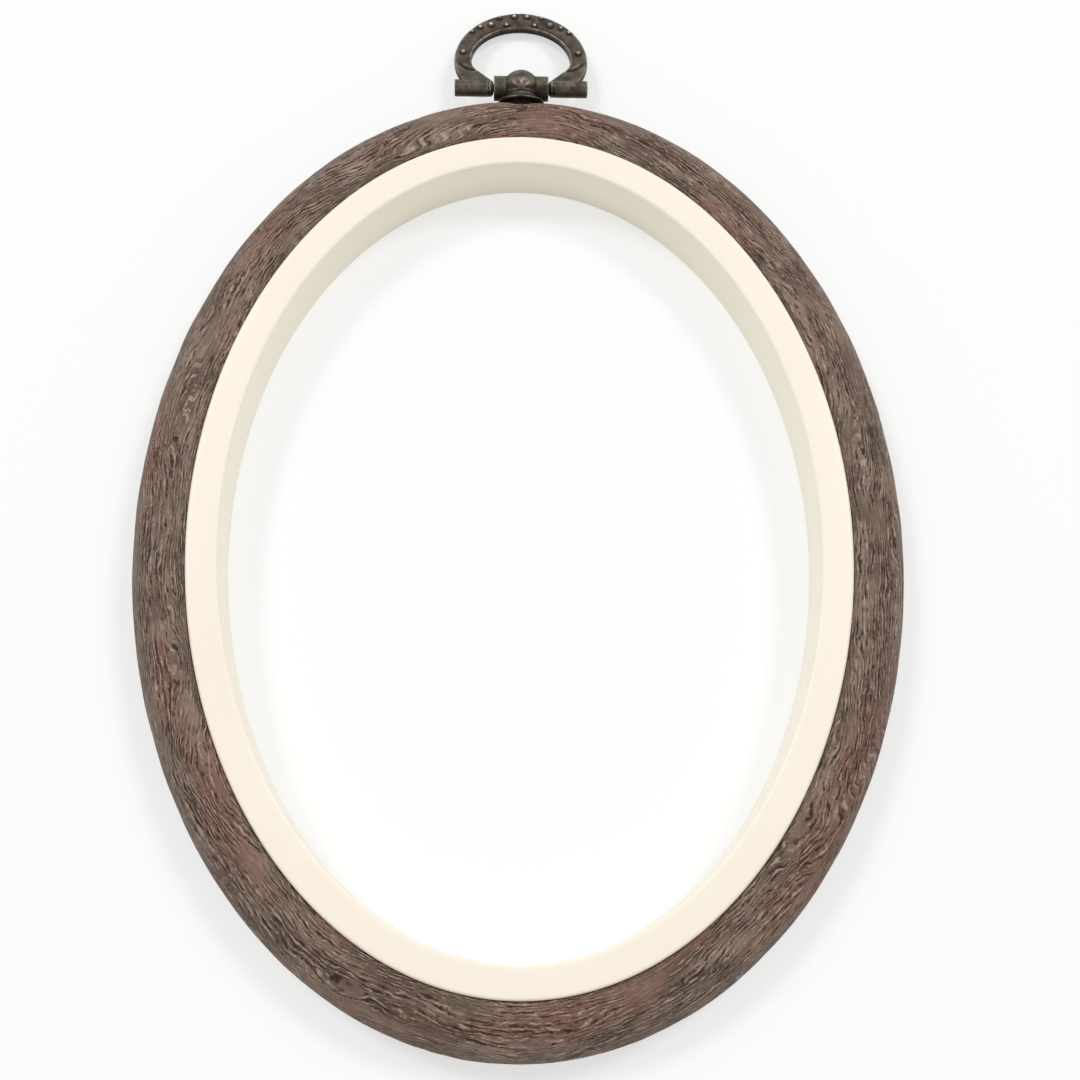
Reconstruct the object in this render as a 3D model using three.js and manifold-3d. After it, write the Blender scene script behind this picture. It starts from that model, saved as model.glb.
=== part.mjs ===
// An oval flexible embroidery hoop, lying on its back with its hanging loop laid down beyond its top.
// Millimetres. +Z is the hoop's axis, out of its front face. +Y points to the hanging loop, +X to the right.
import * as THREE from 'three';
import { mergeVertices } from 'three/addons/utils/BufferGeometryUtils.js';
import Module from 'manifold-3d';

const wasm = await Module();
wasm.setup();

// The oval is the outer wall of the inner ring. Both rings follow it.
const ovalWidth = 90;
const ovalLength = 120;

// How finely curves are faceted.
const ringSteps = 96;
const sectionSteps = 14;
const cornerSteps = 4;
const bandSteps = 12;
const seatSteps = 48;
const turnedSteps = 32;
const pinSteps = 24;

// Pieces that touch in the assembled hoop keep this gap.
const seatGap = 0.3;

// Inner ring: hard plastic. A lip round its back edge stops the outer ring.
const ringDepth = 9.2;
const innerThickness = 4.4;
const innerEdgeRadius = 0.5;
const lipReach = 1.2;
const lipThickness = 1.2;

// Outer ring: soft vinyl of a D section, stretched over the inner ring.
const outerThickness = 7.85;
const outerSetback = 0.2;
const outerEdgeRadius = 0.6;

// Hanger bracket: a barrel across the top of the hoop, on a bell-shaped foot with a threaded stem.
const barrelLength = 8.1;
const barrelRadius = 1.82;
const bossRadius = 2.75;
const footRadius = 3.45;
const footRimThickness = 0.25;
const footFlareHeight = 1.5;
const footNeckRadius = 2.25;
const footBite = 0.35;
const stemRadius = 2.1;
const stemLength = 3.8;
const pinWall = 0.45;

// Hinge pin, and the height of its axis over the foot's rim.
const pinRadius = 0.6;
const pinRise = 2.85;

// Fixing screw, driven from inside the outer ring.
const screwRadius = 1.2;
const screwHeadRadius = 2.4;
const screwHeadHeight = 1.3;
const screwHeadRecess = 0.3;
const screwSlotWidth = 0.6;
const screwSlotDepth = 0.6;

// Hanging loop: a flat band on two tubes. Heights in the loop are measured from the pin's axis.
const bailWidth = 20;
const bailHeight = 15.6;
const bailThickness = 1.1;
const bailEdgeRadius = 0.25;
const bellyHeight = 5.4;
const shoulderDrop = 8.5;
const bandSideWidth = 2.6;
const bandTopWidth = 3.4;
const legHeight = 3.85;
const legInset = 0.35;
const tubeSpan = 19.7;
const tubeRadius = 1.235;
const tubeEdge = 0.2;
const neckGap = 0.3;

// Beads on the loop's face, in mirrored pairs. turn is the angle up from the loop's widest line, and across
// is the place on the band, from its inner edge at 0 to its outer edge at 1.
const beadRadius = 0.36;
const beadPairs = [
  { turn: 10, across: 0.54, size: 1.1 },
  { turn: 39, across: 0.8, size: 0.9 },
  { turn: 48.5, across: 0.72, size: 1 },
  { turn: 59, across: 0.55, size: 1.25 },
  { turn: 70.5, across: 0.82, size: 0.9 },
  { turn: 74, across: 0.27, size: 0.9 },
  { turn: 84, across: 0.77, size: 1.1 },
];

// Places that follow from the sizes above.
const halfWidth = ovalWidth / 2;
const halfLength = ovalLength / 2;
const midDepth = ringDepth / 2;
const crownY = halfLength + outerThickness;
const footY = crownY - footBite;
const pinY = footY + pinRise;
const boreRadius = pinRadius + seatGap;
const screwHoleRadius = screwRadius + seatGap;
const screwFaceY = halfLength + seatGap + screwHeadRecess;
const screwSeatY = screwFaceY + screwHeadHeight;
const threadEndY = pinY - boreRadius - pinWall;
const tubeStart = barrelLength / 2 + neckGap;
const tubeEnd = tubeSpan / 2;
const quarterTurn = Math.PI / 2;

// Turns a closed three.js geometry into a solid for joining and cutting.
function solid(geometry) {
  const bare = geometry.clone();
  bare.deleteAttribute('normal');
  bare.deleteAttribute('uv');
  const merged = mergeVertices(bare);
  const corners = [];
  for (let i = 0; i < merged.index.count; i += 3) {
    const face = [0, 1, 2].map((k) => merged.index.getX(i + k));
    if (new Set(face).size === 3) corners.push(...face);
  }
  const vertProperties = merged.attributes.position.array;
  const triVerts = new Uint32Array(corners);
  return new wasm.Manifold(new wasm.Mesh({ numProp: 3, vertProperties, triVerts }));
}

// The named mesh of a solid.
function piece(name, body, look) {
  const { vertProperties, triVerts } = body.getMesh();
  const geometry = new THREE.BufferGeometry();
  geometry.setAttribute('position', new THREE.BufferAttribute(vertProperties, 3));
  geometry.setIndex(new THREE.BufferAttribute(triVerts, 1));
  geometry.computeVertexNormals();
  const mesh = new THREE.Mesh(geometry, new THREE.MeshStandardMaterial(look));
  mesh.name = name;
  return mesh;
}

function union(solids) {
  return solids.reduce((whole, next) => whole.add(next));
}

// Points of an ellipse's arc about (x, y), between two angles in quarter turns.
function arc(x, y, radiusX, radiusY, from, to, steps) {
  return Array.from({ length: steps + 1 }, (_, i) => {
    const angle = (from + ((to - from) * i) / steps) * quarterTurn;
    return new THREE.Vector2(x + radiusX * Math.cos(angle), y + radiusY * Math.sin(angle));
  });
}

// Sweeps a closed section round the oval. Its x is the distance outside the oval, its y the height.
// The section is first turned round a circle, which is then laid on the oval, square to it everywhere.
function ovalRing(section) {
  const circle = halfWidth;
  const profile = section.map(({ x, y }) => new THREE.Vector2(circle + x, y));
  const geometry = new THREE.LatheGeometry([...profile, profile[0]], ringSteps).rotateX(quarterTurn);
  const at = geometry.attributes.position;
  for (let i = 0; i < at.count; i += 1) {
    const angle = Math.atan2(at.getY(i), at.getX(i));
    const outside = Math.hypot(at.getX(i), at.getY(i)) - circle;
    const cos = Math.cos(angle);
    const sin = Math.sin(angle);
    const outward = outside / Math.hypot(halfLength * cos, halfWidth * sin);
    at.setX(i, halfWidth * cos + outward * halfLength * cos);
    at.setY(i, halfLength * sin + outward * halfWidth * sin);
  }
  return solid(geometry);
}

// A solid turned about an axis along Y through the middle of the crown. Each point is [radius, y].
function turnedOnCrown(points, steps) {
  const profile = points.map(([radius, y]) => new THREE.Vector2(radius, y));
  return solid(new THREE.LatheGeometry(profile, steps)).translate([0, 0, midDepth]);
}

// A cylinder about the pin's axis from one x to another, with its rims bevelled.
function onPinAxis(radius, from, to, bevel, steps) {
  const profile = [
    new THREE.Vector2(0, from),
    new THREE.Vector2(radius - bevel, from),
    new THREE.Vector2(radius, from + bevel),
    new THREE.Vector2(radius, to - bevel),
    new THREE.Vector2(radius - bevel, to),
    new THREE.Vector2(0, to),
  ];
  const geometry = new THREE.LatheGeometry(profile, steps).rotateZ(-quarterTurn);
  return solid(geometry).translate([0, pinY, midDepth]);
}

function innerRing() {
  const round = innerEdgeRadius;
  const back = round / 2;
  return ovalRing([
    new THREE.Vector2(-innerThickness + back, 0),
    new THREE.Vector2(lipReach - back, 0),
    new THREE.Vector2(lipReach, back),
    new THREE.Vector2(lipReach, lipThickness),
    new THREE.Vector2(0, lipThickness),
    ...arc(-round, ringDepth - round, round, round, 0, 1, cornerSteps),
    ...arc(round - innerThickness, ringDepth - round, round, round, 1, 2, cornerSteps),
    new THREE.Vector2(-innerThickness, back),
  ]);
}

// The D section is half an ellipse against the inner ring's wall, cut back round the lip.
function outerSection() {
  const high = ringDepth - outerSetback;
  const low = seatGap;
  const middle = (high + low) / 2;
  const rise = (high - low) / 2;
  const reach = outerThickness - seatGap;
  const notchX = lipReach + seatGap;
  const notchY = lipThickness + seatGap;
  const frontEnd = Math.acos(outerEdgeRadius / reach) / quarterTurn;
  const backEnd = Math.acos((notchX - seatGap) / reach) / quarterTurn;
  return [
    new THREE.Vector2(notchX, notchY),
    ...arc(seatGap, middle, reach, rise, -backEnd, frontEnd, sectionSteps),
    new THREE.Vector2(seatGap, high - outerEdgeRadius),
    new THREE.Vector2(seatGap, notchY),
  ];
}

function outerRing() {
  const footSeat = turnedOnCrown(
    [
      [0, footY - seatGap],
      [footRadius + seatGap, footY - seatGap],
      [footRadius + seatGap, crownY + seatGap],
      [0, crownY + seatGap],
    ],
    seatSteps,
  );
  const stemHole = turnedOnCrown(
    [
      [0, footY - stemLength - seatGap],
      [stemRadius + seatGap, footY - stemLength - seatGap],
      [stemRadius + seatGap, crownY],
      [0, crownY],
    ],
    turnedSteps,
  );
  const screwHole = turnedOnCrown(
    [
      [0, halfLength],
      [screwHeadRadius + seatGap, halfLength],
      [screwHeadRadius + seatGap, screwSeatY + seatGap],
      [screwHoleRadius, screwSeatY + seatGap],
      [screwHoleRadius, crownY],
      [0, crownY],
    ],
    turnedSteps,
  );
  return ovalRing(outerSection()).subtract(union([footSeat, stemHole, screwHole]));
}

function hangerBracket() {
  const flare = footRadius - footNeckRadius;
  const rim = footY + footRimThickness;
  const top = footY + footFlareHeight;
  const bell = arc(footRadius, top, flare, top - rim, 3, 2, cornerSteps).map(({ x, y }) => [x, y]);
  const foot = turnedOnCrown(
    [
      [0, footY - stemLength],
      [stemRadius - footRimThickness, footY - stemLength],
      [stemRadius, footY - stemLength + footRimThickness],
      [stemRadius, footY],
      [footRadius, footY],
      ...bell,
      [footNeckRadius, pinY],
      [0, pinY],
    ],
    turnedSteps,
  );
  const barrel = onPinAxis(barrelRadius, -barrelLength / 2, barrelLength / 2, tubeEdge, pinSteps);
  const ball = solid(new THREE.SphereGeometry(bossRadius, turnedSteps, pinSteps));
  const boss = ball.translate([0, pinY, midDepth]);
  const thread = turnedOnCrown(
    [
      [0, footY - stemLength - seatGap],
      [screwHoleRadius, footY - stemLength - seatGap],
      [screwHoleRadius, threadEndY],
      [0, threadEndY],
    ],
    pinSteps,
  );
  const pinBore = onPinAxis(boreRadius, -barrelLength, barrelLength, 0, pinSteps);
  return union([foot, barrel, boss]).subtract(thread).subtract(pinBore);
}

function fixingScrew() {
  const body = turnedOnCrown(
    [
      [0, screwFaceY],
      [screwHeadRadius - screwHeadRecess, screwFaceY],
      [screwHeadRadius, screwFaceY + screwHeadRecess],
      [screwHeadRadius, screwSeatY],
      [screwRadius, screwSeatY],
      [screwRadius, threadEndY - seatGap],
      [0, threadEndY - seatGap],
    ],
    turnedSteps,
  );
  const slotLength = 3 * screwHeadRadius;
  const slot = solid(new THREE.BoxGeometry(slotLength, 2 * screwSlotDepth, screwSlotWidth));
  return body.subtract(slot.translate([0, screwFaceY, midDepth]));
}

// The loop's outline is an oval about the middle of its belly. These are its half width and height there.
const outerOval = { wide: bailWidth / 2, tall: bailHeight - bellyHeight };
const innerOval = { wide: outerOval.wide - bandSideWidth, tall: outerOval.tall - bandTopWidth };

// How far an oval's edge lies from its middle, at an angle up from its widest line.
function edgeOf(oval, angle) {
  return 1 / Math.hypot(Math.cos(angle) / oval.wide, Math.sin(angle) / oval.tall);
}

// The band's outline in the loop's own plane, with the pin's axis at y = 0: its right half, then its left.
function bandOutline() {
  const footHeight = tubeRadius / 4;
  const shoulderTurn = Math.asin((bellyHeight - footHeight) / shoulderDrop) / quarterTurn;
  const legTop = new THREE.Vector2(innerOval.wide - legInset, legHeight);
  const legFoot = new THREE.Vector2(tubeStart, tubeRadius);
  const belly = new THREE.Vector2(innerOval.wide, bellyHeight);
  const corner = new THREE.Vector2(innerOval.wide, (legHeight + bellyHeight) / 2);
  const bend = new THREE.QuadraticBezierCurve(belly, corner, legTop);
  const outside = [
    ...arc(0, bellyHeight, outerOval.wide, shoulderDrop, -shoulderTurn, 0, bandSteps).slice(0, -1),
    ...arc(0, bellyHeight, outerOval.wide, outerOval.tall, 0, 1, bandSteps),
  ];
  const inside = [
    ...arc(0, bellyHeight, innerOval.wide, innerOval.tall, 1, 0, bandSteps).slice(0, -1),
    ...bend.getPoints(cornerSteps),
    legFoot,
    new THREE.Vector2(tubeStart, footHeight),
  ];
  const mirrored = (points) => points.map(({ x, y }) => new THREE.Vector2(-x, y)).reverse();
  const left = [...mirrored(outside).slice(1), ...mirrored(inside).slice(0, -1)];
  return new THREE.Shape([...outside, ...left, ...inside]);
}

// The loop standing in the plane of the hoop, before it is laid down.
function uprightBail() {
  const band = new THREE.ExtrudeGeometry(bandOutline(), {
    depth: bailThickness - 2 * bailEdgeRadius,
    bevelThickness: bailEdgeRadius,
    bevelSize: bailEdgeRadius,
    bevelOffset: -bailEdgeRadius,
    bevelSegments: 2,
  });
  band.translate(0, pinY, midDepth - bailThickness / 2 + bailEdgeRadius);
  const tubes = [-1, 1].map((side) => {
    const ends = [side * tubeStart, side * tubeEnd].sort((a, b) => a - b);
    return onPinAxis(tubeRadius, ...ends, tubeEdge, pinSteps);
  });
  const beads = beadPairs.flatMap(({ turn, across, size }) => {
    const angle = THREE.MathUtils.degToRad(turn);
    const inner = edgeOf(innerOval, angle);
    const distance = inner + across * (edgeOf(outerOval, angle) - inner);
    const bead = solid(new THREE.IcosahedronGeometry(beadRadius * size, 1));
    const height = pinY + bellyHeight + distance * Math.sin(angle);
    return [-1, 1].map((side) =>
      bead.translate([side * distance * Math.cos(angle), height, midDepth + bailThickness / 2]),
    );
  });
  const pinBore = onPinAxis(boreRadius, -tubeSpan, tubeSpan, 0, pinSteps);
  return union([solid(band), ...tubes, ...beads]).subtract(pinBore);
}

function hingePin() {
  return onPinAxis(pinRadius, seatGap - tubeEnd, tubeEnd - seatGap, tubeEdge / 2, pinSteps);
}

// The angle at which the loop, turned down about its pin, rests its far end on the surface.
function layDownAngle() {
  const far = bailHeight - bailEdgeRadius;
  const under = bailThickness / 2 - bailEdgeRadius;
  return Math.asin((midDepth - bailEdgeRadius) / Math.hypot(far, under)) - Math.atan2(under, far);
}

// A part turned about the pin's axis.
function aboutPin(meshes, angle) {
  const turned = new THREE.Group();
  turned.position.set(0, pinY, midDepth);
  turned.rotation.x = angle;
  const back = new THREE.Group();
  back.position.set(0, -pinY, -midDepth);
  back.add(...meshes);
  turned.add(back);
  return turned;
}

const cream = { color: 0xfaf1e2, roughness: 0.45, metalness: 0 };
const bark = { color: 0x7d6a5e, roughness: 0.6, metalness: 0 };
const bronze = { color: 0x5a5248, roughness: 0.45, metalness: 0.8 };
const steel = { color: 0x8d8a86, roughness: 0.35, metalness: 0.9 };

const hoop = new THREE.Group();
hoop.add(
  piece('inner_ring', innerRing(), cream),
  piece('outer_ring', outerRing(), bark),
  piece('hanger_bracket', hangerBracket(), bronze),
  piece('fixing_screw', fixingScrew(), steel),
  aboutPin(
    [piece('hanger_bail', uprightBail(), bronze), piece('hinge_pin', hingePin(), steel)],
    -layDownAngle(),
  ),
);

// The origin is the middle of the hoop's footprint, on the surface that it lies on.
const reach = new THREE.Box3().setFromObject(hoop, true);
const middle = reach.getCenter(new THREE.Vector3());
hoop.position.set(-middle.x, -middle.y, -reach.min.z);

export default hoop;
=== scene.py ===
import math

import bmesh
import bpy
import numpy as np
from mathutils import Matrix, Vector


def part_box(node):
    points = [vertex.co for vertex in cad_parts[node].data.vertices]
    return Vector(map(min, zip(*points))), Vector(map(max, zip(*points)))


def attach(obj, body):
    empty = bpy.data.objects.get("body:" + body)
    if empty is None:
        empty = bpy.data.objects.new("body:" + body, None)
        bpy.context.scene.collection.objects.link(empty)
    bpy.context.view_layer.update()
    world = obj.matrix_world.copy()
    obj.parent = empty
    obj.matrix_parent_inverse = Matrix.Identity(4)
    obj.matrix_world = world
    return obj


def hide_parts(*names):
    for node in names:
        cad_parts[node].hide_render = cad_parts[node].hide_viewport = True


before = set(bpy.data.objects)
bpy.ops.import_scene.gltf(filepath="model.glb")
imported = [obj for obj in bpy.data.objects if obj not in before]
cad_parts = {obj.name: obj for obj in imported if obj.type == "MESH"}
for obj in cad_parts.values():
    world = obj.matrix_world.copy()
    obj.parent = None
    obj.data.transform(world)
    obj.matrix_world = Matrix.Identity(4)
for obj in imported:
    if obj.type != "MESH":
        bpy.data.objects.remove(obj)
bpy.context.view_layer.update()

# Sizes of the CAD model, in millimetres. Everything is worked out in millimetres and built in metres.
MM = 0.001
TURN = 2 * math.pi
HALF_WIDTH = 45
HALF_LENGTH = 60
RING_DEPTH = 9.2
MID_DEPTH = RING_DEPTH / 2
SEAT_GAP = 0.3
INNER_THICKNESS = 4.4
INNER_EDGE_RADIUS = 0.5
LIP_REACH = 1.2
LIP_THICKNESS = 1.2
OUTER_THICKNESS = 7.85
OUTER_SETBACK = 0.2
OUTER_EDGE_RADIUS = 0.6
BARREL_LENGTH = 8.1
BARREL_RADIUS = 1.82
BOSS_RADIUS = 2.75
FOOT_RADIUS = 3.45
FOOT_RIM = 0.25
FOOT_FLARE_HEIGHT = 1.5
FOOT_NECK_RADIUS = 2.25
FOOT_BITE = 0.35
STEM_RADIUS = 2.1
STEM_LENGTH = 3.8
PIN_WALL = 0.45
PIN_RADIUS = 0.6
PIN_RISE = 2.85
SCREW_RADIUS = 1.2
SCREW_HEAD_RADIUS = 2.4
SCREW_HEAD_HEIGHT = 1.3
SCREW_RECESS = 0.3
SCREW_SLOT = 0.6
BAIL_WIDTH = 20
BAIL_HEIGHT = 15.6
BAIL_THICKNESS = 1.1
BAIL_EDGE_RADIUS = 0.25
BELLY_HEIGHT = 5.4
SHOULDER_DROP = 8.5
BAND_SIDE_WIDTH = 2.6
BAND_TOP_WIDTH = 3.4
LEG_HEIGHT = 3.85
LEG_INSET = 0.35
TUBE_SPAN = 19.7
TUBE_RADIUS = 1.235
NECK_GAP = 0.3

# Sizes that only the visual model has, in millimetres.
JOINT_LINE = 0.06
SKIN_SPACING = 0.145
SKIN_ROWS = 620
GRAIN_PITCH = 0.56
SEAT_PLAY = 0.03
END_EDGE = 0.06
PIN_PLAY = 0.08
NECK_LINE = 0.08
NECK_RADIUS = 1.0
THREAD_PITCH = 0.5
BEAD_RADIUS = 0.36
# Angle up from the loop's widest line, place across the band from its inner edge, and size.
BEAD_PAIRS = [
    (10, 0.54, 1.1), (39, 0.8, 0.9), (48.5, 0.72, 1), (59, 0.55, 1.25),
    (70.5, 0.82, 0.9), (74, 0.27, 0.9), (84, 0.73, 1.1),
]

# The floor, in millimetres, the light, in metres and watts, and the camera.
FLOOR_REACH = 3000
FLOOR_DROP = 0.02
FLOOR_WHITE_NEAR = 0.58
SKY_LIGHT = 0.52
LAMP_POWERS = {-1: 22, 1: 20.6}
LAMP_PLACE = (1.28, 1.1, 2.09)
LAMP_SIZE = 0.7
LENS = 52.99
VIEW_FROM = (-4.488, -64.499, 215.683)
VIEW_RIGHT = (0.99946, -0.00301, 0.03284)
VIEW_UP = (-0.00559, 0.96597, 0.25862)
VIEW_BACK = (-0.03250, -0.25866, 0.96542)

# Places that follow. The oval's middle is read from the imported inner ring.
low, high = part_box("inner_ring")
OVAL_Y = (low.y + high.y) / 2 / MM
CROWN_Y = OVAL_Y + HALF_LENGTH + OUTER_THICKNESS
FOOT_Y = CROWN_Y - FOOT_BITE
PIN_Y = FOOT_Y + PIN_RISE
BORE_RADIUS = PIN_RADIUS + PIN_PLAY
SCREW_HOLE_RADIUS = SCREW_RADIUS + SEAT_GAP
SCREW_FACE_Y = OVAL_Y + HALF_LENGTH + SEAT_GAP + SCREW_RECESS
SCREW_SEAT_Y = SCREW_FACE_Y + SCREW_HEAD_HEIGHT
THREAD_END_Y = PIN_Y - PIN_RADIUS - SEAT_GAP - PIN_WALL
TUBE_START = BARREL_LENGTH / 2 + NECK_GAP
TUBE_END = TUBE_SPAN / 2
LAY_DOWN = (
    math.asin((MID_DEPTH - BAIL_EDGE_RADIUS)
              / math.hypot(BAIL_HEIGHT - BAIL_EDGE_RADIUS, BAIL_THICKNESS / 2 - BAIL_EDGE_RADIUS))
    - math.atan2(BAIL_THICKNESS / 2 - BAIL_EDGE_RADIUS, BAIL_HEIGHT - BAIL_EDGE_RADIUS)
)


# Numbers

def smooth(start, end, value):
    """Rises gently from 0 at start to 1 at end."""
    share = np.clip((value - start) / (end - start), 0, 1)
    return share * share * (3 - 2 * share)


def gradient_noise(points, seed):
    """Smooth noise of about -1 to 1 at points in space, the same on every run."""
    rng = np.random.default_rng(seed)
    order = np.tile(rng.permutation(256), 3)
    slopes = rng.normal(size=(256, 3))
    slopes /= np.linalg.norm(slopes, axis=1)[:, None]
    cell = np.floor(points).astype(int)
    inside = points - cell
    ease = inside ** 3 * (inside * (inside * 6 - 15) + 10)
    cell &= 255
    total = np.zeros(len(points))
    for corner in np.ndindex(2, 2, 2):
        corner = np.array(corner)
        at = (cell + corner) & 255
        slope = slopes[order[order[order[at[:, 0]] + at[:, 1]] + at[:, 2]]]
        weight = np.prod(np.where(corner, ease, 1 - ease), axis=1)
        total += weight * (slope * (inside - corner)).sum(1)
    return total * 1.6


def resample(points, spacing):
    """Points along a polyline, about spacing apart, with both its ends."""
    points = np.asarray(points, float)
    run = np.concatenate([[0], np.cumsum(np.hypot(*np.diff(points, axis=0).T))])
    at = np.linspace(0, run[-1], max(2, round(run[-1] / spacing) + 1))
    return np.stack([np.interp(at, run, points[:, k]) for k in (0, 1)], -1)


def arc(x, y, radius_x, radius_y, start, end, steps):
    """Points of an ellipse's arc between two angles in degrees."""
    angle = np.radians(np.linspace(start, end, steps + 1))
    return np.stack([x + radius_x * np.cos(angle), y + radius_y * np.sin(angle)], -1)


# Meshes

def grid_faces(rows, columns, close_rows=True, close_columns=True):
    """Quads of a grid whose points are stored row by row."""
    r = np.arange(rows if close_rows else rows - 1)[:, None]
    c = np.arange(columns if close_columns else columns - 1)[None, :]
    r2, c2 = (r + 1) % rows, (c + 1) % columns
    quads = [r * columns + c, r * columns + c2, r2 * columns + c2, r2 * columns + c]
    return np.stack([q.ravel() for q in quads], -1).tolist()


def build(name, points, faces):
    """A mesh object from points in millimetres, with its faces turned outward."""
    mesh = bpy.data.meshes.new(name)
    mesh.from_pydata((np.asarray(points, float) * MM).tolist(), [], faces)
    shape = bmesh.new()
    shape.from_mesh(mesh)
    bmesh.ops.remove_doubles(shape, verts=shape.verts, dist=1e-8)
    bmesh.ops.recalc_face_normals(shape, faces=shape.faces)
    shape.to_mesh(mesh)
    shape.free()
    mesh.shade_smooth()
    return link(name, mesh)


def link(name, data):
    """A new object in the scene that shows a mesh, a lamp or a camera."""
    made = bpy.data.objects.new(name, data)
    bpy.context.scene.collection.objects.link(made)
    return made


def box(name, middle, size):
    """A closed box about its middle, in millimetres."""
    shape = bmesh.new()
    bmesh.ops.create_cube(shape, size=1)
    shape.transform(Matrix.Translation(Vector(middle) * MM) @ Matrix.Diagonal((*(Vector(size) * MM), 1)))
    mesh = bpy.data.meshes.new(name)
    shape.to_mesh(mesh)
    shape.free()
    return link(name, mesh)


def turned(name, profile, steps, ripple=None):
    """A closed solid turned about its local y axis from [radius, y] points, which start and end on it."""
    profile = np.asarray(profile, float)
    angle = np.arange(steps) * TURN / steps
    radius = np.repeat(profile[None, :, 0], steps, 0)
    along = np.repeat(profile[None, :, 1], steps, 0)
    if ripple:
        radius = radius + ripple(angle[:, None], along) * (radius > 0)
    x = radius * np.sin(angle)[:, None]
    z = radius * np.cos(angle)[:, None]
    points = np.stack([x, along, z], -1).reshape(-1, 3)
    return build(name, points, grid_faces(steps, len(profile), close_columns=False))


def across(x):
    """Turns a solid made about local y onto the pin's line, starting at x."""
    return Matrix.Translation(Vector((x, PIN_Y, MID_DEPTH)) * MM) @ Matrix.Rotation(-math.pi / 2, 4, "Z")


def upward(y):
    """Puts a solid made about local y onto the hanger's stem, with its zero at y."""
    return Matrix.Translation(Vector((0, y, MID_DEPTH)) * MM)


def placed(piece, matrix):
    piece.data.transform(matrix)
    return piece


def co(piece):
    """The mesh's points, in millimetres."""
    values = np.empty(len(piece.data.vertices) * 3, np.float32)
    piece.data.vertices.foreach_get("co", values)
    return values.reshape(-1, 3).astype(float) / MM


def set_co(piece, points):
    piece.data.vertices.foreach_set("co", (points * MM).astype(np.float32).ravel())
    piece.data.update()


def normals(piece):
    values = np.empty(len(piece.data.vertices) * 3, np.float32)
    piece.data.vertex_normals.foreach_get("vector", values)
    return values.reshape(-1, 3).astype(float)


def neighbours(piece):
    """A function that averages a value over each point's neighbours."""
    mesh = piece.data
    pairs = np.empty(len(mesh.edges) * 2, np.int32)
    mesh.edges.foreach_get("vertices", pairs)
    a, b = pairs.reshape(-1, 2).T
    count = np.maximum(np.bincount(np.concatenate([a, b]), minlength=len(mesh.vertices)), 1)

    def average(values):
        flat = values.reshape(len(values), -1)
        total = [
            np.bincount(a, flat[b, k], len(flat)) + np.bincount(b, flat[a, k], len(flat))
            for k in range(flat.shape[1])
        ]
        return (np.stack(total, -1) / count[:, None]).reshape(values.shape)

    return average


def attribute(piece, name, values):
    """Stores a number, or a vector, for each point, for the material to read."""
    values = np.asarray(values, np.float32)
    kind, field = ("FLOAT", "value") if values.ndim == 1 else ("FLOAT_VECTOR", "vector")
    piece.data.attributes.new(name, kind, "POINT").data.foreach_set(field, values.ravel())


def apply_modifier(piece, kind, **settings):
    modifier = piece.modifiers.new(kind, kind)
    for key, value in settings.items():
        setattr(modifier, key, value)
    with bpy.context.temp_override(object=piece, active_object=piece, selected_objects=[piece]):
        bpy.ops.object.modifier_apply(modifier=modifier.name)


def cut(piece, *tools):
    """Takes closed tools out of a piece, and removes them."""
    for tool in tools:
        apply_modifier(piece, "BOOLEAN", operation="DIFFERENCE", solver="MANIFOLD", object=tool)
        bpy.data.objects.remove(tool)
    return piece


def cast(name, shells, voxel, rounding):
    """Joins closed shells into one skin, with small fillets where they meet.

    Each rounding pulls the points in and then lets most of that go again, so that thin parts don't shrink.
    """
    pull, let_go = 0.5, 0.4635
    whole = bmesh.new()
    for shell in shells:
        whole.from_mesh(shell.data)
        bpy.data.objects.remove(shell)
    mesh = bpy.data.meshes.new(name)
    whole.to_mesh(mesh)
    whole.free()
    piece = link(name, mesh)
    apply_modifier(piece, "REMESH", mode="VOXEL", voxel_size=voxel * MM, use_smooth_shade=True)
    average = neighbours(piece)
    points = co(piece)
    for _ in range(rounding):
        points = points + pull * (average(points) - points)
        points = points - let_go * (average(points) - points)
    points = points + pull * (average(points) - points)
    set_co(piece, points)
    return piece


def mark_wear_and_shade(piece, reach, polish=0, shade_and_patina=0):
    """Stores where a casting is worn bright, and where its patina stays dark.

    It wears where its own curvature sticks out within reach, counted in mesh edges. Its patina stays dark in
    hollows, and the side that faces the hoop, away from the lamps, gets painted shade and less wear. polish
    adds to the wear at each point, and shade_and_patina adds to the dark.
    """
    average = neighbours(piece)
    points = co(piece)
    around = points
    for _ in range(reach):
        around = average(around)
    bulge = ((points - around) * normals(piece)).sum(1)
    bulge = average(average(bulge))
    scale = np.percentile(np.abs(bulge), 92) + 1e-9
    # Painted shade: the side that faces the hoop, away from the lamps, is darker and less worn.
    painted_side_shade = 0.9 * smooth(0.3, -0.6, normals(piece)[:, 1])
    attribute(piece, "edge", np.clip(np.clip(bulge / scale, 0, 1.1) * (1 - painted_side_shade) + polish, 0, 1.8))
    attribute(piece, "hollow", np.clip(painted_side_shade - bulge / scale + shade_and_patina, 0, 1.5))


def finish(piece, body, slot, material, *nodes):
    """Puts a piece on its body, with its material, in place of the CAD nodes that it stands for."""
    piece.data.materials.clear()
    piece.data.materials.append(material)
    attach(piece, body)
    if nodes:
        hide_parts(*nodes)
    return piece


# Materials

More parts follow.
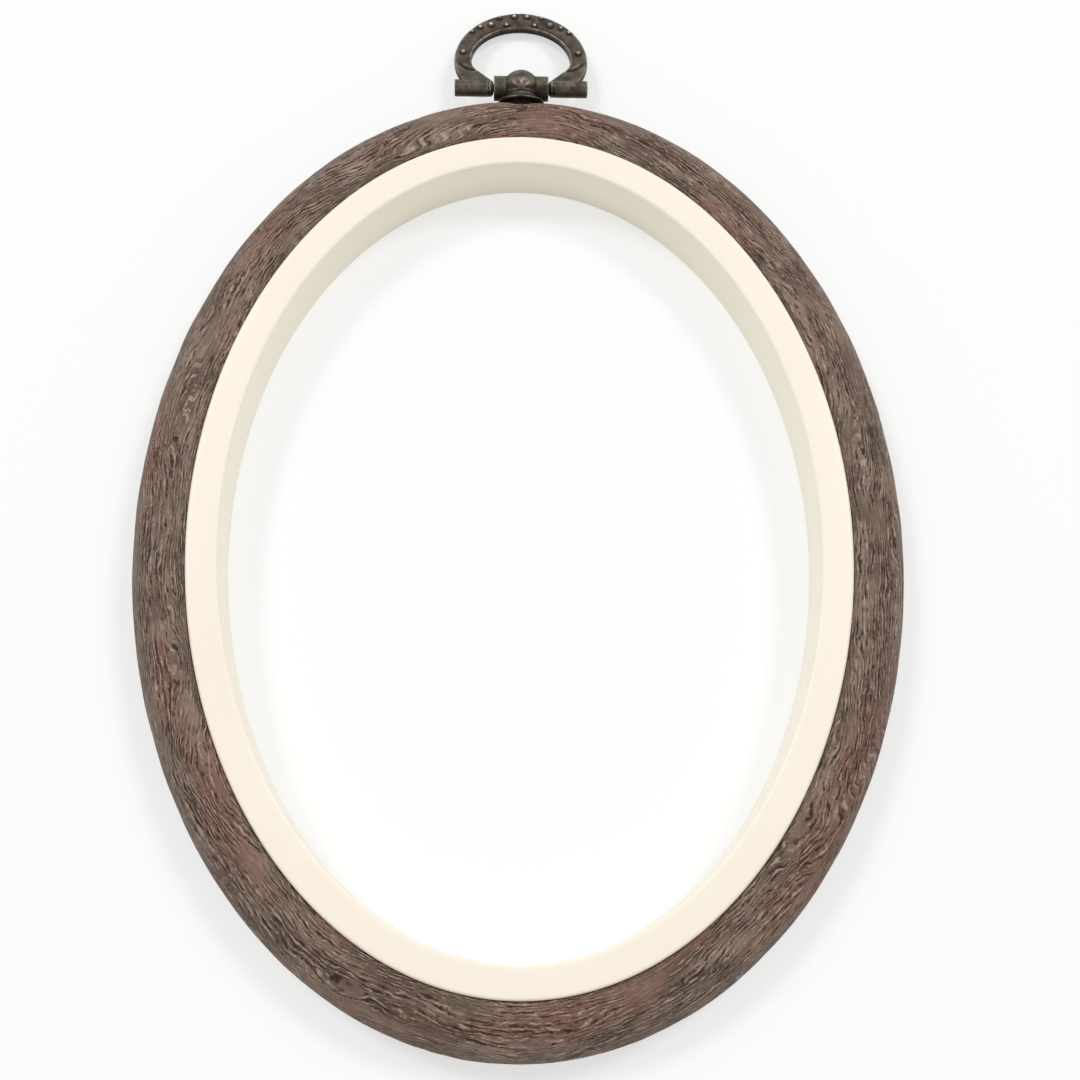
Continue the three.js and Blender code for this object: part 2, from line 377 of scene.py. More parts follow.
class Nodes:
    """Short calls for the nodes of one tree."""

    def __init__(self, tree):
        self.tree = tree

    def add(self, kind, links=(), **settings):
        """A new node, with a value or a linked socket for each input that is named."""
        made = self.tree.nodes.new(kind)
        for key, value in settings.items():
            setattr(made, key, value)
        for key, value in dict(links).items():
            if isinstance(value, bpy.types.NodeSocket):
                self.tree.links.new(value, made.inputs[key])
            else:
                made.inputs[key].default_value = value
        return made

    def math(self, operation, a, b=0.0):
        return self.add("ShaderNodeMath", {0: a, 1: b}, operation=operation).outputs[0]

    def span(self, value, low, high, to_low=0.0, to_high=1.0, kind="LINEAR"):
        """Maps a value from one span to another, and holds it at the ends."""
        links = {"Value": value, "From Min": low, "From Max": high, "To Min": to_low, "To Max": to_high}
        return self.add("ShaderNodeMapRange", links, interpolation_type=kind).outputs["Result"]

    def backdrop_rays(self):
        """1 for the rays that show the white backdrop: the camera's, and those of gloss and glass."""
        rays = self.add("ShaderNodeLightPath").outputs
        mirrored = self.math("MAXIMUM", rays["Is Glossy Ray"], rays["Is Transmission Ray"])
        return self.math("MAXIMUM", rays["Is Camera Ray"], mirrored)


class Look(Nodes):
    """A material with a Principled shader, and short calls for the nodes in front of it."""

    def __init__(self, name, **plain):
        self.material = bpy.data.materials.new(name)
        self.material.use_nodes = True
        super().__init__(self.material.node_tree)
        self.shader = self.tree.nodes["Principled BSDF"]
        for key, value in plain.items():
            self.shader.inputs[key.replace("_", " ")].default_value = value
        place = self.add("ShaderNodeTexCoord").outputs["Object"]
        self.place = self.add("ShaderNodeMapping", {"Vector": place, "Scale": (1 / MM,) * 3}).outputs[0]

    def noise(self, size, detail=3, rough=0.5, at=None):
        """Noise from 0 to 1 with features of a size in millimetres, or of a size along each axis."""
        sizes = size if isinstance(size, tuple) else (size,) * 3
        scale = tuple(1 / value for value in sizes)
        at = self.add("ShaderNodeMapping", {"Vector": at or self.place, "Scale": scale})
        links = {"Vector": at.outputs[0], "Scale": 1.0, "Detail": detail, "Roughness": rough}
        return self.add("ShaderNodeTexNoise", links).outputs["Fac"]

    def wobble(self, size, reach, at=None):
        """Noise about zero, of about reach either way."""
        return self.math("MULTIPLY", self.math("SUBTRACT", self.noise(size, 0, at=at), 0.5), 3 * reach)

    def total(self, *parts):
        whole = parts[0]
        for part in parts[1:]:
            whole = self.math("ADD", whole, part)
        return whole

    def stored(self, name, output="Fac"):
        """What attribute() has stored on the mesh."""
        return self.add("ShaderNodeAttribute", attribute_name=name).outputs[output]

    def mix(self, share, a, b):
        """Mixes two colours, which the node takes at its sockets 6 and 7 and gives at its output 2."""
        return self.add("ShaderNodeMix", {0: share, 6: a, 7: b}, data_type="RGBA").outputs[2]

    def set(self, key, value):
        """Links a value to the shader."""
        self.tree.links.new(value, self.shader.inputs[key])

    def bump(self, height, distance, strength=1.0):
        links = {"Height": height, "Distance": distance * MM, "Strength": strength}
        self.set("Normal", self.add("ShaderNodeBump", links).outputs["Normal"])


def colour(red, green, blue):
    """A colour given as it is seen on a screen, from 0 to 255, made linear."""
    def linear(value):
        value = value / 255
        return value / 12.92 if value <= 0.04045 else ((value + 0.055) / 1.055) ** 2.4
    return (linear(red), linear(green), linear(blue), 1)


def vinyl_look():
    """Bark: dark and light lines along the stored flow of the grain, over a mottled skin."""
    look = Look("wood_grain_vinyl", Specular_IOR_Level=0.25)
    grain = look.stored("grain", "Vector")
    apart = look.add("ShaderNodeSeparateXYZ", {0: grain}).outputs
    flow = look.total(apart["Z"], look.wobble(0.7, 0.1), look.wobble(0.35, 0.05))
    turn = look.math("MULTIPLY", flow, TURN / GRAIN_PITCH)
    coarse = look.math("SINE", turn)
    fine = look.math("SINE", look.total(look.math("MULTIPLY", turn, 1.71), look.wobble(3, 2.5)))
    rough = look.math("ADD", look.wobble((1.3, 1.3, 0.2), 0.8, at=grain),
                      look.wobble((0.5, 0.5, 0.12), 0.45, at=grain))
    # Above zero a light line, below it a dark one, which is wider where the grain is strong.
    line = look.total(look.math("MULTIPLY", coarse, 0.5), look.math("MULTIPLY", fine, 0.3), rough)
    strong = look.stored("strong")
    calm = look.stored("calm")
    start = look.math("SUBTRACT", 0.86, look.math("MULTIPLY", strong, 1.05))
    dark = look.span(look.math("MULTIPLY", line, -1), start, 0.98, kind="SMOOTHSTEP")
    dark = look.math("MULTIPLY", dark, look.math("SUBTRACT", 1, look.math("MULTIPLY", calm, 0.75)))
    light = look.span(line, 0.2, 1.1, kind="SMOOTHSTEP")
    light = look.math("MULTIPLY", light, look.math("SUBTRACT", 1, look.math("MULTIPLY", calm, 0.6)))
    mottle = look.noise(1.2, 3, 0.6)
    speck = look.noise(0.3, 2)
    # From the ground colour up: mottling, reddish places, a grey painted sheen on the outer flank, light
    # lines, specks, dark lines.
    base = look.mix(look.stored("tone"), colour(89, 70, 59), colour(141, 121, 107))
    base = look.mix(look.span(mottle, 0.35, 0.65, 0, 0.4), base, colour(112, 97, 80))
    base = look.mix(look.math("MULTIPLY", look.stored("red"), 0.48), base, colour(130, 88, 75))
    base = look.mix(look.math("MULTIPLY", look.stored("grey"), 0.35), base, colour(118, 106, 100))
    base = look.mix(look.math("MULTIPLY", light, 0.75), base, colour(178, 158, 141))
    base = look.mix(look.span(speck, 0.62, 0.75, 0, 0.4), base, colour(176, 158, 142))
    base = look.mix(look.span(speck, 0.38, 0.26, 0, 0.5), base, colour(66, 48, 37))
    base = look.mix(dark, base, colour(48, 32, 22))
    look.set("Base Color", base)
    look.set("Roughness", look.span(mottle, 0.3, 0.7, 0.55, 0.72))
    height = look.total(look.math("MULTIPLY", light, 0.5), look.math("MULTIPLY", dark, -1.0),
                        look.math("MULTIPLY", speck, 0.5))
    look.bump(height, 0.1, 0.8)
    return look.material


def cream_look():
    look = Look("cream_plastic", Specular_IOR_Level=0.4, Coat_Weight=0.15, Coat_Roughness=0.3)
    cloud = look.noise(14, 2)
    grain = look.noise(0.5, 3, rough=0.6)
    base = look.mix(look.span(cloud, 0.3, 0.7), colour(251, 240, 223), colour(253, 243, 228))
    # The inner wall gets a tint of its own: painted light, standing for the light that the translucent
    # plastic scatters into its walls.
    base = look.mix(look.stored("wall"), base, colour(251, 245, 227))
    look.set("Base Color", base)
    look.set("Roughness", look.span(grain, 0.3, 0.7, 0.38, 0.5))
    look.bump(look.math("ADD", grain, look.noise(4, 2)), 0.012, 0.6)
    return look.material


def bronze_look():
    look = Look("antique_bronze", Metallic=0.6)
    cloud = look.noise(1.5, 4, 0.62)
    grit = look.noise(0.2, 4, 0.65)
    patina = look.mix(look.span(look.noise(5, 2), 0.4, 0.6), colour(118, 102, 91), colour(107, 102, 86))
    base = look.mix(look.span(cloud, 0.64, 0.36), patina, colour(60, 50, 42))
    worn = look.math("MULTIPLY", look.stored("edge"), look.span(look.noise(0.9, 3), 0.35, 0.65, 0.35, 1.0))
    base = look.mix(look.span(worn, 0.3, 1.6, 0, 1.0), base, colour(196, 185, 168))
    # Darker and rougher where hollow is stored: patina in hollows, and painted shade on the side that faces
    # the hoop and under the bell.
    patina_and_shade = look.span(look.stored("hollow"), 0.1, 1.0)
    base = look.mix(look.math("MULTIPLY", patina_and_shade, 0.9), base, colour(22, 16, 12))
    look.set("Base Color", base)
    gloss = look.span(grit, 0.3, 0.7, 0.27, 0.42)
    look.set("Roughness", look.math("ADD", gloss, look.math("MULTIPLY", patina_and_shade, 0.35)))
    look.bump(look.total(grit, cloud), 0.03, 0.7)
    return look.material


def steel_look(name, tone, other):
    look = Look(name, Metallic=0.9)
    streak = look.noise((3.0, 0.5, 0.5), 3)
    base = look.mix(look.span(streak, 0.3, 0.7), colour(*tone), colour(*other))
    look.set("Base Color", base)
    look.set("Roughness", look.span(streak, 0.3, 0.7, 0.3, 0.45))
    look.bump(streak, 0.01, 0.5)
    return look.material


# The two rings

def even_angles(count):
    """Angles that part the oval into stretches of equal length, with its whole length."""
    angle = np.linspace(0, TURN, 7201)
    middle = (angle[1:] + angle[:-1]) / 2
    step = np.hypot(HALF_WIDTH * np.sin(middle), HALF_LENGTH * np.cos(middle)) * angle[1]
    run = np.concatenate([[0], np.cumsum(step)])
    return np.interp(np.arange(count) / count * run[-1], run, angle), run[-1]


def on_oval(angle, outside, height):
    """Points at an angle round the oval, a distance outside it and a height."""
    cos, sin = np.cos(angle), np.sin(angle)
    slope = np.hypot(HALF_LENGTH * cos, HALF_WIDTH * sin)
    x = HALF_WIDTH * cos + outside * HALF_LENGTH * cos / slope
    y = HALF_LENGTH * sin + outside * HALF_WIDTH * sin / slope
    return np.stack([x, y + OVAL_Y, height + 0 * x], -1)


def bark(share, width, length):
    """The embossed grain, at a share of the way round and a distance across the skin.

    The lines of the grain are the contours of a slowly bent field, so that they run together in tongues.
    Gives the values to store, the places to store for the shader, the height of the lines from -1 to 1, and
    a slow swelling of the skin.
    """
    reach = length / TURN
    around = np.stack([reach * np.cos(share * TURN), reach * np.sin(share * TURN)], -1)

    def wave(run, span, seed, at=width):
        """Noise with features of a length along the ring and a width across it, in millimetres."""
        places = np.concatenate([around / run, (at / span)[:, None]], 1)
        return gradient_noise(places + [11.3, 7.1, 0], seed)

    # The grain slants slowly one way and the other across the ring, and bends most where it is loose.
    loose = smooth(-0.05, 0.45, wave(17, 6, 40))
    slant = 3.2 * wave(24, 40, 50)
    bend = (0.7 + 1.3 * loose) * wave(12, 3.9, 1) + (0.25 + 0.3 * loose) * wave(4.5, 1.9, 2)
    flow = width + slant + bend + 0.15 * wave(1.7, 0.9, 3)
    flow = flow + 0.2 * wave(3, 0.9, 23, flow)
    middle = smooth(2.0, 4.4, width) * (1 - smooth(5.8, 7.4, width))
    strong = 0.36 + 0.9 * wave(7, 0.6, 8, flow) + 0.75 * wave(1.8, 0.35, 9, flow) + 0.35 * middle
    calm = smooth(0.1, 0.45, wave(7, 2.6, 7) + 0.25 * wave(2, 1, 33)) + 0.5 * smooth(6.2, 8.5, width)
    joint_shade = 1 - smooth(0.5, 1.6, width)
    foot = smooth(0.0, 1.0, -np.sin(share * TURN))
    tone = 0.53 + 0.9 * wave(6, 2.2, 15) + 0.4 * wave(1.6, 0.9, 18)
    # Painted shade: darker beside the joint with the cream ring, and darker towards the foot, away from the
    # lamps.
    tone = tone - 0.15 * middle - 0.35 * joint_shade - 0.2 * foot
    red = smooth(0.0, 0.5, wave(17, 6, 30) + 0.3 * wave(4, 1.5, 31) + 0.1 * foot)
    turn = TURN * flow / GRAIN_PITCH
    line = 0.75 * np.sin(turn) + 0.25 * np.sin(1.71 * turn + 2.5 * wave(3, 1.3, 24))
    strong, calm = np.clip(strong, 0.18, 1.15), np.clip(calm, 0, 1)
    ridge = line * (0.35 + 0.65 * strong) * (1 - 0.75 * calm)
    values = {"strong": strong, "calm": calm, "tone": np.clip(tone, 0, 1), "red": red}
    return values, np.concatenate([around, flow[:, None]], 1), ridge, wave(6, 1.9, 16) + 0.6 * calm


def outer_section():
    """The D section as [outside, height] points, how many of them are skin, and which way each one faces."""
    top = RING_DEPTH - OUTER_SETBACK
    middle = (top + SEAT_GAP) / 2
    reach = OUTER_THICKNESS - SEAT_GAP
    rise = (top - SEAT_GAP) / 2
    notch = LIP_REACH + SEAT_GAP
    step = LIP_THICKNESS + SEAT_GAP
    front = math.degrees(math.acos(OUTER_EDGE_RADIUS / reach))
    back = math.degrees(math.acos((notch - SEAT_GAP) / reach))
    dome = arc(SEAT_GAP, middle, reach, rise, front, -back, 400)
    edge_x, edge_z = dome[0]
    edge = arc(edge_x, edge_z - OUTER_EDGE_RADIUS, OUTER_EDGE_RADIUS, OUTER_EDGE_RADIUS, 180, 90, 12)
    edge[:, 0] = JOINT_LINE + (edge[:, 0] - edge[0, 0]) * (edge_x - JOINT_LINE) / (edge[-1, 0] - edge[0, 0])
    skin = resample(np.concatenate([edge, dome[1:]]), SKIN_SPACING)
    rest = resample([(notch, dome[-1, 1]), (notch, step), (JOINT_LINE, step)], 0.6)[1:]
    wall = resample([(JOINT_LINE, step), (JOINT_LINE, edge[0, 1])], 0.9)[1:-1]
    section = np.concatenate([skin, rest, wall])
    lean = np.gradient(section, axis=0)
    lean /= np.linalg.norm(lean, axis=1)[:, None]
    return section, len(skin), np.stack([-lean[:, 1], lean[:, 0]], -1)


def outer_ring():
    section, skin, facing = outer_section()
    run = np.concatenate([[0], np.cumsum(np.hypot(*np.diff(section, axis=0).T))])
    angle, length = even_angles(SKIN_ROWS)
    share = np.repeat(np.arange(SKIN_ROWS) / SKIN_ROWS, len(section))
    width = np.tile(run, SKIN_ROWS)
    stored, grain, ridge, swell = bark(share, width, length)
    # The relief is cut into the CAD skin, and fades out at the skin's two edges.
    skin_end = run[skin - 1]
    cover = smooth(0.0, 0.7, run) * (1 - smooth(skin_end - 1.2, skin_end - 0.2, run))
    sunk = np.tile(cover, SKIN_ROWS) * np.clip(0.16 - 0.1 * ridge - 0.07 * swell, 0, 0.4)
    outside, height = (np.tile(section, (SKIN_ROWS, 1)) - sunk[:, None] * np.tile(facing, (SKIN_ROWS, 1))).T
    points = on_oval(np.repeat(angle, len(section)), outside, height)
    piece = build("bark_ring", points, grid_faces(SKIN_ROWS, len(section)))
    for name, values in stored.items():
        attribute(piece, name, values)
    attribute(piece, "grain", grain)
    # Greyer towards the outer flank: a painted sheen.
    attribute(piece, "grey", np.tile(smooth(5, 9, run), SKIN_ROWS))

    seat_radius = FOOT_RADIUS + SEAT_PLAY
    seat = turned("seat", [(0, -SEAT_PLAY), (seat_radius, -SEAT_PLAY), (seat_radius, 3), (0, 3)], 96)
    stem_radius, stem_end = STEM_RADIUS + SEAT_GAP, -STEM_LENGTH - SEAT_GAP
    stem = turned("stem", [(0, stem_end), (stem_radius, stem_end), (stem_radius, 3), (0, 3)], 64)
    pocket_end = SCREW_SEAT_Y + SEAT_GAP - FOOT_Y
    start = OVAL_Y + HALF_LENGTH - FOOT_Y
    pocket_radius = SCREW_HEAD_RADIUS + SEAT_GAP
    pocket = turned("pocket", [(0, start), (pocket_radius, start), (pocket_radius, pocket_end),
                               (SCREW_HOLE_RADIUS, pocket_end), (SCREW_HOLE_RADIUS, 0), (0, 0)], 64)
    cut(piece, *(placed(tool, upward(FOOT_Y)) for tool in (seat, stem, pocket)))
    return finish(piece, "outer_hoop", "wood_grain_vinyl", vinyl_look(), "outer_ring")


def inner_ring():
    r = INNER_EDGE_RADIUS
    back = r / 2
    lip = LIP_THICKNESS
    section = np.concatenate([
        arc(-INNER_THICKNESS + back, back, back, back, 180, 270, 4),
        arc(LIP_REACH - back, back, back, back, 270, 360, 4),
        arc(LIP_REACH - back / 2, lip - back / 2, back / 2, back / 2, 0, 90, 3),
        [[0, lip]],
        arc(-r, RING_DEPTH - r, r, r, 0, 90, 8),
        arc(-INNER_THICKNESS + r, RING_DEPTH - r, r, r, 90, 180, 8),
    ])
    section = np.concatenate([section, section[:1]])
    # The flats get points of their own, so that the softened edges keep their shading.
    points = []
    for a, b in zip(section[:-1], section[1:]):
        steps = max(1, round(math.dist(a, b) / 0.8))
        points += [a + (b - a) * k / steps for k in range(steps)]
    section = np.array(points)
    count = 480
    angle, _ = even_angles(count)
    outside, height = np.tile(section, (count, 1)).T
    shape = on_oval(np.repeat(angle, len(section)), outside, height)
    piece = build("cream_ring", shape, grid_faces(count, len(section)))
    # Marks the inner wall for its painted-light tint.
    inward = smooth(-INNER_THICKNESS + 0.25, -INNER_THICKNESS + 0.05, section[:, 0])
    attribute(piece, "wall", np.tile(inward, count))
    return finish(piece, "inner_hoop", "cream_plastic", cream_look(), "inner_ring")


# The hanger

def ball(radius, x, y, z, steps=24):
    profile = [(radius * math.sin(a), -radius * math.cos(a)) for a in np.linspace(0, math.pi, steps)]
    profile[0], profile[-1] = (0, -radius), (0, radius)
    return placed(turned("ball", profile, steps * 2), Matrix.Translation(Vector((x, y, z)) * MM))


def bore(start, length):
    """A tool for the pin's bore through something on the pin's line, a little longer than it."""
    profile = [(0, -1), (BORE_RADIUS, -1), (BORE_RADIUS, length + 1), (0, length + 1)]
    return placed(turned("bore", profile, 48), across(start))


def hanger_bracket(material):
    flare = FOOT_RADIUS - FOOT_NECK_RADIUS
    bell = arc(FOOT_RADIUS, FOOT_FLARE_HEIGHT, flare, FOOT_FLARE_HEIGHT - FOOT_RIM, 270, 180, 16)
    # The bell's underside, from the stem out to its rim.
    hollow = [(STEM_RADIUS, 0.5), (2.3, 0.48), (2.45, 0.34), (2.58, 0.12), (2.68, 0.03), (2.78, 0)]
    profile = [(0, -STEM_LENGTH), (STEM_RADIUS - FOOT_RIM, -STEM_LENGTH),
               (STEM_RADIUS, FOOT_RIM - STEM_LENGTH), *hollow,
               (FOOT_RADIUS - 0.08, 0), (FOOT_RADIUS, 0.06), *bell,
               (FOOT_NECK_RADIUS, PIN_RISE), (0, PIN_RISE)]
    foot = placed(turned("foot", profile, 96), upward(FOOT_Y))
    half = BARREL_LENGTH / 2
    ends = [(0, 0), (BARREL_RADIUS - END_EDGE, 0), (BARREL_RADIUS, END_EDGE)]
    other = [(r, BARREL_LENGTH - y) for r, y in reversed(ends)]
    barrel = placed(turned("barrel", ends + other, 96), across(-half))
    piece = cast("eye_casting", [foot, barrel, ball(BOSS_RADIUS, 0, PIN_Y, MID_DEPTH, 32)], 0.058, 3)

    # A worn leaf of three lobes on the boss, fanned out from its foot.
    points = co(piece)
    x, y = points[:, 0], points[:, 1] - PIN_Y
    front = smooth(MID_DEPTH + 0.8, MID_DEPTH + 1.8, points[:, 2])
    from_foot = np.hypot(x, y + 1.3)
    turn = np.arctan2(x, y + 1.3)
    on_boss = smooth(BOSS_RADIUS - 0.15, BOSS_RADIUS - 0.7, np.hypot(x, y)) * smooth(1.9, 1.3, np.abs(turn))
    lobe = 0.5 - 0.5 * np.cos(6.6 * turn)
    sunk = 0.11 * front * on_boss * lobe * smooth(0.2, 1.1, from_foot)
    # The bell's rim droops towards the ring in front and behind.
    droop = smooth(1.6, 3.4, np.abs(points[:, 2] - MID_DEPTH))
    droop = droop * smooth(FOOT_Y + 1.3, FOOT_Y + 0.2, points[:, 1])
    set_co(piece, points - normals(piece) * sunk[:, None] - droop[:, None] * [0, 0.35, 0])

    # The bell's rim is worn less and gets less of the painted shade, and the hollow under it is painted dark
    # as shade.
    rim = smooth(FOOT_Y + 1.0, FOOT_Y + 0.4, points[:, 1])
    under = smooth(FOOT_Y + 0.8, FOOT_Y + 0.65, points[:, 1])
    under = under * smooth(2.8, 2.6, np.hypot(points[:, 0], points[:, 2] - MID_DEPTH))
    mark_wear_and_shade(piece, 6, -0.5 * rim - under, 2.5 * under - 0.65 * rim)
    thread_end = THREAD_END_Y - FOOT_Y
    thread = placed(turned("thread", [(0, -STEM_LENGTH - 1), (SCREW_HOLE_RADIUS, -STEM_LENGTH - 1),
                                      (SCREW_HOLE_RADIUS, thread_end), (0, thread_end)], 48), upward(FOOT_Y))
    cut(piece, bore(-half, BARREL_LENGTH), thread)
    return finish(piece, "outer_hoop", "antique_bronze", material, "hanger_bracket")


def oval_edge(wide, tall, angle):
    """Points of the loop's outline, at angles up from its widest line."""
    distance = 1 / np.hypot(np.cos(angle) / wide, np.sin(angle) / tall)
    return np.stack([distance * np.cos(angle), BELLY_HEIGHT + distance * np.sin(angle)], -1)


OUTER_OVAL = (BAIL_WIDTH / 2, BAIL_HEIGHT - BELLY_HEIGHT)
INNER_OVAL = (BAIL_WIDTH / 2 - BAND_SIDE_WIDTH, BAIL_HEIGHT - BELLY_HEIGHT - BAND_TOP_WIDTH)


def band_outlines():
    """Matching points of the band's inner and outer edges, from the right tube over to the left one."""
    foot = TUBE_RADIUS / 4
    shoulder = math.degrees(math.asin((BELLY_HEIGHT - foot) / SHOULDER_DROP))
    leg_top = (INNER_OVAL[0] - LEG_INSET, LEG_HEIGHT)
    bend = [np.array(p) for p in ((INNER_OVAL[0], BELLY_HEIGHT),
                                  (INNER_OVAL[0], (LEG_HEIGHT + BELLY_HEIGHT) / 2), leg_top)]
    curve = [(1 - t) ** 2 * bend[2] + 2 * t * (1 - t) * bend[1] + t * t * bend[0]
             for t in np.linspace(0, 1, 9)]
    inside = np.array([(TUBE_START, foot), (TUBE_START, TUBE_RADIUS), *curve])
    steps = 40
    outside = arc(0, BELLY_HEIGHT, OUTER_OVAL[0], SHOULDER_DROP, -shoulder, 0, steps)
    run = np.concatenate([[0], np.cumsum(np.hypot(*np.diff(inside, axis=0).T))])
    at = np.linspace(0, run[-1], steps + 1)
    inside = np.stack([np.interp(at, run, inside[:, k]) for k in (0, 1)], -1)
    angle = np.radians(np.linspace(0, 90, 71))[1:]
    inside = np.concatenate([inside, oval_edge(*INNER_OVAL, angle)])
    outside = np.concatenate([outside, oval_edge(*OUTER_OVAL, angle)])
    mirror = np.array([-1, 1])
    return [np.concatenate([side, side[-2::-1] * mirror]) for side in (inside, outside)]


def hanger_bail(material):
    inside, outside = band_outlines()
    width = np.hypot(*(outside - inside).T)[:, None]
    # Places across the band, closer together near its edges.
    share = np.interp(np.arange(23), [0, 8, 16, 22], [0, 0.25, 0.8, 1])
    half = BAIL_THICKNESS / 2
    r = BAIL_EDGE_RADIUS

    def drop(distance):
        return r - np.sqrt(np.clip(r * r - (r - np.clip(distance, 0, r)) ** 2, 0, None))

    across_band = share[None, :] * width
    rounding = drop(across_band) + drop(width - across_band)
    # The face is sunk behind a ridge along the inner edge, over the shoulders.
    upper = (smooth(BELLY_HEIGHT - 0.5, BELLY_HEIGHT + 2, inside[:, 1])
             * smooth(0.6, 1.8, np.abs(inside[:, 0])))[:, None]
    sunk = 0.13 * upper * smooth(0.3, 0.5, across_band) * (1 - 0.6 * smooth(0.4, 1.4, across_band))
    middle = inside[:, None] + share[None, :, None] * (outside - inside)[:, None]
    # A soft curl crosses each arm's foot.
    curl = np.hypot(np.abs(middle[..., 0]) - 7.2, middle[..., 1] - 5.3)
    groove = 0.11 * np.exp(-((curl - 2.05) / 0.26) ** 2) - 0.09 * np.exp(-((curl - 1.5) / 0.26) ** 2)
    sunk = sunk + groove * smooth(5.0, 4.2, middle[..., 1])
    face = half - rounding - sunk
    rear = -half + rounding
    loop = np.concatenate([
        np.concatenate([middle, face[..., None]], -1),
        np.concatenate([middle, rear[..., None]], -1)[:, ::-1],
    ], 1)
    rows, columns = loop.shape[:2]
    faces = grid_faces(rows, columns, close_rows=False)
    faces += [list(range(columns)), list(range((rows - 1) * columns, rows * columns))]
    band = build("band", loop.reshape(-1, 3) + [0, PIN_Y, MID_DEPTH], faces)

    # Each tube has a shoulder beside the eye, and a soft ring near it.
    neck = NECK_GAP - NECK_LINE
    length = TUBE_END - TUBE_START + neck
    ring = [(TUBE_RADIUS, 0.36), (TUBE_RADIUS - 0.07, 0.44), (TUBE_RADIUS - 0.07, 0.5), (TUBE_RADIUS, 0.58)]
    near_end = [(0, 0), (NECK_RADIUS, 0), (NECK_RADIUS, neck), (TUBE_RADIUS - END_EDGE, neck)]
    near_end += [(radius, neck + y) for radius, y in [(TUBE_RADIUS, END_EDGE), *ring]]
    far_end = [(0, 0), (TUBE_RADIUS - END_EDGE, 0), (TUBE_RADIUS, END_EDGE)]
    tube = near_end + [(radius, length - y) for radius, y in reversed(far_end)]
    back = [(radius, length - y) for radius, y in reversed(tube)]
    tubes = [placed(turned("tube", tube, 72), across(TUBE_START - neck)),
             placed(turned("tube", back, 72), across(-TUBE_END))]

    beads, centres = [], []
    for turn, place, size in BEAD_PAIRS:
        angle = np.array([math.radians(turn)])
        near, wide = oval_edge(*INNER_OVAL, angle)[0], oval_edge(*OUTER_OVAL, angle)[0]
        x, y = near + place * (wide - near)
        for side in (-1, 1):
            centres.append((side * x, PIN_Y + y, MID_DEPTH + half))
            beads.append(ball(BEAD_RADIUS * size, *centres[-1], 16))
    piece = cast("loop_casting", [band, *tubes, *beads], 0.069, 2)
    points = co(piece)
    nearest = np.min([np.linalg.norm(points - centre - [0, 0, BEAD_RADIUS], axis=1) for centre in centres], 0)
    # The patina is darker on the band than on the tubes.
    from_pin = np.hypot(points[:, 1] - PIN_Y, points[:, 2] - MID_DEPTH)
    on_band = smooth(TUBE_RADIUS, TUBE_RADIUS + 0.5, from_pin)
    # The bead tops are worn bright, and this also stands as their painted highlight.
    mark_wear_and_shade(piece, 4, 1.2 * smooth(BEAD_RADIUS, 0.1, nearest), 0.45 * on_band - 0.25)
    cut(piece, bore(-TUBE_END, TUBE_SPAN))
    lay_down(piece)
    return finish(piece, "bail", "antique_bronze", material, "hanger_bail")


def lay_down(piece):
    """Turns a piece made upright about the pin, to lie with the loop's far end on the surface."""
    axis = Vector((0, PIN_Y, MID_DEPTH)) * MM
    turn = Matrix.Rotation(-LAY_DOWN, 4, "X")
    return placed(piece, Matrix.Translation(axis) @ turn @ Matrix.Translation(-axis))


def hinge_pin():
    length = TUBE_SPAN - 2 * SEAT_GAP
    crown = [(0, 0), (0.22, 0.01), (0.42, 0.05), (0.54, 0.12), (PIN_RADIUS, 0.22)]
    profile = crown + [(PIN_RADIUS, y) for y in np.linspace(1, length - 1, 12)]
    profile += [(radius, length - y) for radius, y in reversed(crown)]
    piece = placed(turned("wire_pin", profile, 48), across(-TUBE_END + SEAT_GAP))
    lay_down(piece)
    return finish(piece, "bail", "dark_pin", steel_look("dark_pin", (46, 40, 34), (66, 60, 52)), "hinge_pin")


def fixing_screw():
    top = THREAD_END_Y - SEAT_GAP - SCREW_FACE_Y
    head = SCREW_HEAD_HEIGHT
    wide = SCREW_HEAD_RADIUS
    profile = [(0, 0), (wide - 0.75, 0), (wide - SCREW_RECESS, 0.05), (wide - 0.1, 0.16),
               (wide, SCREW_RECESS), (wide, head - 0.12), (wide - 0.12, head), (SCREW_RADIUS - 0.05, head)]
    profile += [(SCREW_RADIUS - 0.02, y) for y in np.arange(head + 0.1, top - 0.4, THREAD_PITCH / 8)]
    profile += [(SCREW_RADIUS - 0.3, top), (0, top)]

    def thread(angle, along):
        phase = (along / THREAD_PITCH - angle / TURN) % 1
        depth = 0.24 * (1 - np.abs(2 * phase - 1) * 1.6).clip(0, 1)
        return -depth * smooth(head + 0.2, head + 0.6, along) * (along < top - 0.2)

    piece = placed(turned("slotted_screw", profile, 64, thread), upward(SCREW_FACE_Y))
    cut(piece, box("slot", (0, SCREW_FACE_Y, MID_DEPTH), (3 * wide, 2 * SCREW_SLOT, SCREW_SLOT)))
    look = steel_look("screw_steel", (150, 147, 140), (172, 168, 160))
    return finish(piece, "outer_hoop", "screw_steel", look, "fixing_screw")


# The scene

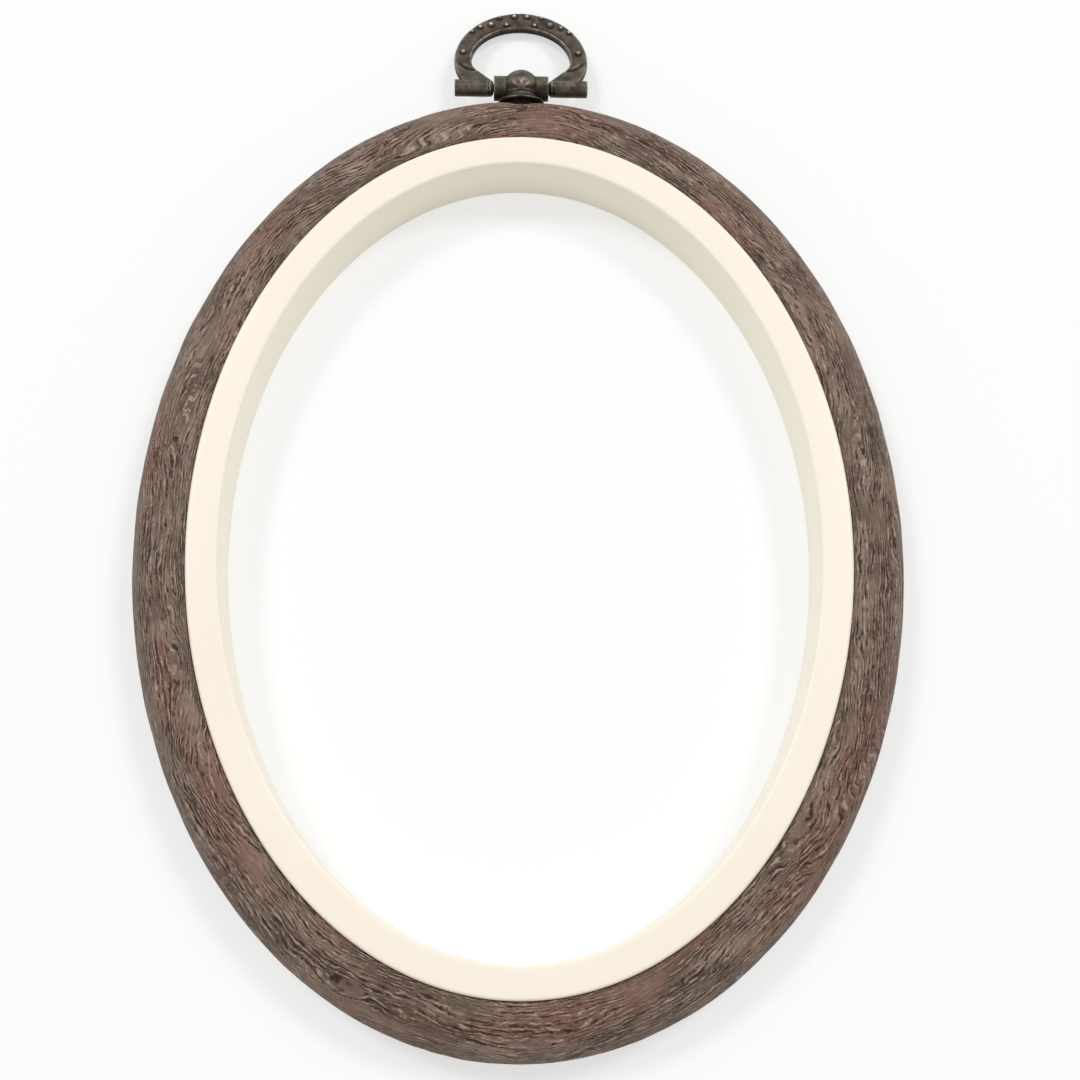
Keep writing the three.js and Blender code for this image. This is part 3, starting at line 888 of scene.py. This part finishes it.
def studio():
    """A white floor that runs into a pale sky, and two large soft lamps beyond the top of the hoop."""
    square = ((-1, -1), (1, -1), (1, 1), (-1, 1))
    corners = [(FLOOR_REACH * x, FLOOR_REACH * y, -FLOOR_DROP) for x, y in square]
    floor = build("floor", corners, [[0, 1, 2, 3]])
    look = Look("floor", Roughness=0.9, Specular_IOR_Level=0.1, Base_Color=(0.98, 0.977, 0.973, 1))
    glow = look.add("ShaderNodeEmission", {"Color": (1, 1, 1, 1), "Strength": 1.0})
    away = look.add("ShaderNodeVectorMath", {0: look.place}, operation="LENGTH").outputs["Value"]
    white = look.span(away, 150, 700, FLOOR_WHITE_NEAR, 1.0)
    share = look.math("MULTIPLY", look.backdrop_rays(), white)
    blend = look.add("ShaderNodeMixShader", {0: share, 1: look.shader.outputs[0], 2: glow.outputs[0]})
    look.tree.links.new(blend.outputs[0], look.tree.nodes["Material Output"].inputs["Surface"])
    floor.data.materials.append(look.material)

    world = bpy.data.worlds.new("sky")
    bpy.context.scene.world = world
    world.use_nodes = True
    sky = Nodes(world.node_tree)
    inputs = sky.tree.nodes["Background"].inputs
    inputs["Color"].default_value = (1, 1, 1, 1)
    sky.tree.links.new(sky.span(sky.backdrop_rays(), 0, 1, SKY_LIGHT, 1.0), inputs["Strength"])

    for side, power in LAMP_POWERS.items():
        lamp = bpy.data.lights.new("soft_lamp", "AREA")
        lamp.shape = "DISK"
        lamp.size = LAMP_SIZE
        lamp.energy = power
        holder = link("soft_lamp", lamp)
        holder.location = (LAMP_PLACE[0] * side, *LAMP_PLACE[1:])
        holder.rotation_euler = (-holder.location).to_track_quat("-Z", "Y").to_euler()


def camera():
    """The photograph's viewpoint, nearly straight down from over the foot of the hoop."""
    lens = bpy.data.cameras.new("view")
    lens.sensor_width = 36
    lens.lens = LENS
    lens.clip_start = 0.01
    holder = link("view", lens)
    place = Matrix((VIEW_RIGHT, VIEW_UP, VIEW_BACK)).transposed().to_4x4()
    place.translation = Vector(VIEW_FROM) * MM
    holder.matrix_world = place
    bpy.context.scene.camera = holder


bpy.context.scene.view_settings.view_transform = "Standard"
camera()
studio()
inner_ring()
outer_ring()
bronze = bronze_look()
hanger_bracket(bronze)
hanger_bail(bronze)
hinge_pin()
fixing_screw()
